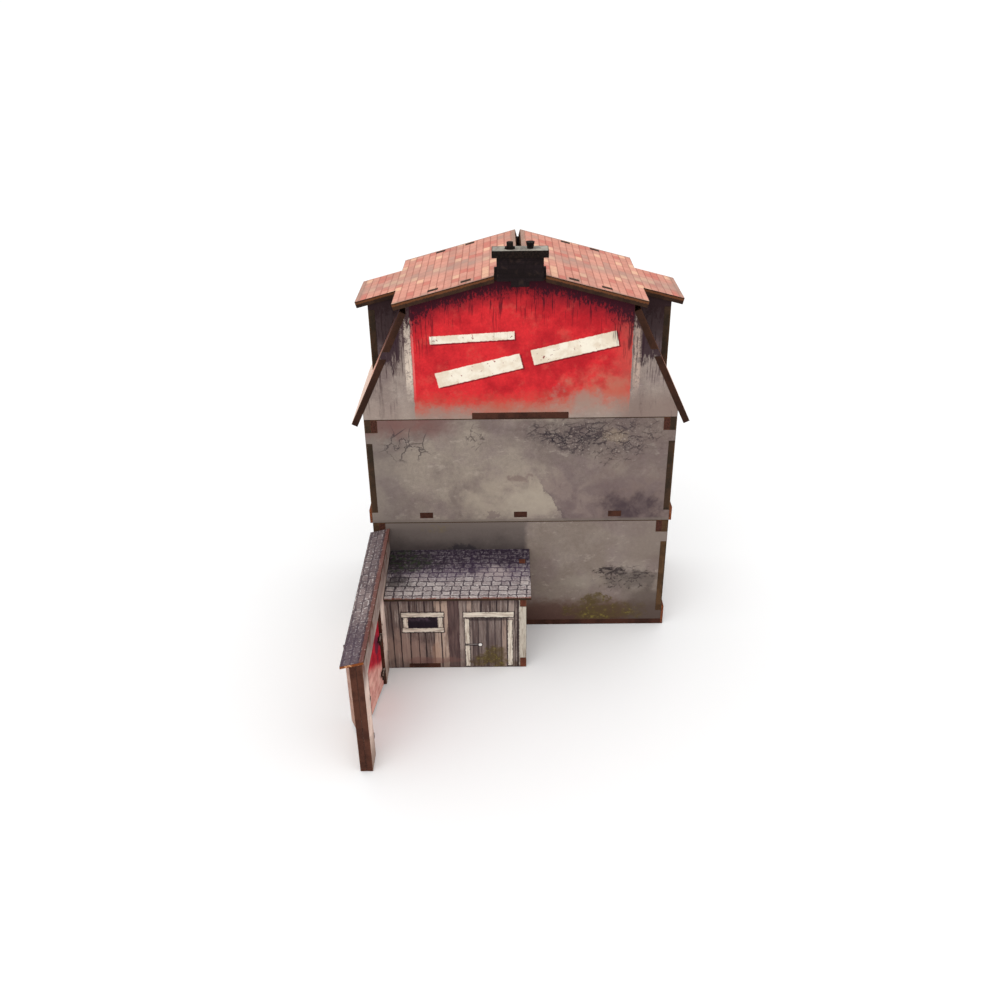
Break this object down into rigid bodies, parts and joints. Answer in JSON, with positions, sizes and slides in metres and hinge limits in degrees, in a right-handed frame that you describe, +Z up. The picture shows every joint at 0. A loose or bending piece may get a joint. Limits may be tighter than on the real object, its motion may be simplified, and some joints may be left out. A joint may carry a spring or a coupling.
{
  "type": "miniature terrain building",
  "caption": "Tabletop wargame town house of laser-cut board: lift-off storeys and mansard attic with dormers, lean-to shed and yard wall with a double gate.",
  "frame": {"origin": "centre of the footprint, on the surface the building stands on", "axes": "+Z up, +Y from the front gable to the back gable, +X to the right seen from the front"},
  "size_m": [0.1578, 0.174, 0.2008],
  "materials": {
    "plaster_print": "matt printed fibreboard",
    "painted_sign_print": "matt printed fibreboard",
    "roof_tile_print": "matt printed fibreboard",
    "dark_slate_print": "matt printed fibreboard",
    "slate_card": "matt printed card",
    "plank_print": "matt printed fibreboard",
    "yard_wall_print": "matt printed fibreboard",
    "sooted_board": "matt blackened fibreboard",
    "red_gate_print": "matt printed fibreboard",
    "window_frame_board": "matt printed fibreboard",
    "bare_fibreboard": "laser-cut, matt",
    "pin_steel": "plain wire"
  },
  "bodies": {
    "ground_storey": {"base_board": "bare_fibreboard", "ground_front_wall": "plaster_print", "ground_back_wall": "plaster_print", "ground_left_wall": "plaster_print", "ground_right_wall": "plaster_print", "ground_ledger_rails": "bare_fibreboard", "left_plinth_strip": "plaster_print", "right_plinth_strip": "plaster_print", "ground_left_window_frame": "window_frame_board", "ground_right_window_frame": "window_frame_board", "ground_back_window_frame": "window_frame_board", "shed_floor": "bare_fibreboard", "shed_front_wall": "plank_print", "shed_side_wall": "plank_print", "shed_roof": "slate_card", "yard_wall_inner_layer": "yard_wall_print", "yard_wall_outer_layer": "yard_wall_print", "wall_coping": "slate_card", "near_gate_brackets": "bare_fibreboard", "far_gate_brackets": "bare_fibreboard"},
    "middle_storey": {"middle_floor": "bare_fibreboard", "middle_front_wall": "plaster_print", "middle_back_wall": "plaster_print", "middle_left_wall": "plaster_print", "middle_right_wall": "plaster_print", "middle_ledger_rails": "bare_fibreboard", "left_belt_strip": "plaster_print", "right_belt_strip": "plaster_print", "middle_left_window_frame": "window_frame_board", "middle_right_window_frame": "window_frame_board", "middle_back_window_frames": "window_frame_board"},
    "attic": {"attic_floor": "bare_fibreboard", "attic_locating_battens": "bare_fibreboard", "front_gable": "painted_sign_print", "back_gable": "plaster_print", "back_gable_window_frame": "window_frame_board", "left_mansard_board": "dark_slate_print", "right_mansard_board": "dark_slate_print", "left_roof_board": "roof_tile_print", "right_roof_board": "roof_tile_print", "left_dormer_face": "dark_slate_print", "right_dormer_face": "dark_slate_print", "left_dormer_front_cheek": "dark_slate_print", "right_dormer_front_cheek": "dark_slate_print", "left_dormer_back_cheek": "dark_slate_print", "right_dormer_back_cheek": "dark_slate_print", "left_dormer_window_frame": "window_frame_board", "right_dormer_window_frame": "window_frame_board", "chimney_front_plate": "sooted_board", "chimney_back_plate": "sooted_board", "chimney_cap": "sooted_board", "chimney_pot_collared": "sooted_board", "chimney_pot_flared": "sooted_board"},
    "near_gate": {"near_gate_leaf": "red_gate_print", "near_gate_pin": "pin_steel"},
    "far_gate": {"far_gate_leaf": "red_gate_print", "far_gate_pin": "pin_steel"}
  },
  "joints": [
    {"name": "middle_storey_lift", "type": "slide", "parent": "ground_storey", "child": "middle_storey", "axis": [0, 0, 1], "range_m": [0, 0.06]},
    {"name": "attic_lift", "type": "slide", "parent": "middle_storey", "child": "attic", "axis": [0, 0, 1], "range_m": [0, 0.06]},
    {"name": "near_gate_hinge", "type": "hinge", "parent": "ground_storey", "child": "near_gate", "pos_m": [-0.0682, -0.0743, 0.0226], "axis": [0, 0, 1], "range_deg": [-26, 61]},
    {"name": "far_gate_hinge", "type": "hinge", "parent": "ground_storey", "child": "far_gate", "pos_m": [-0.0682, -0.0309, 0.0226], "axis": [0, 0, -1], "range_deg": [-8, 79]}
  ]
}
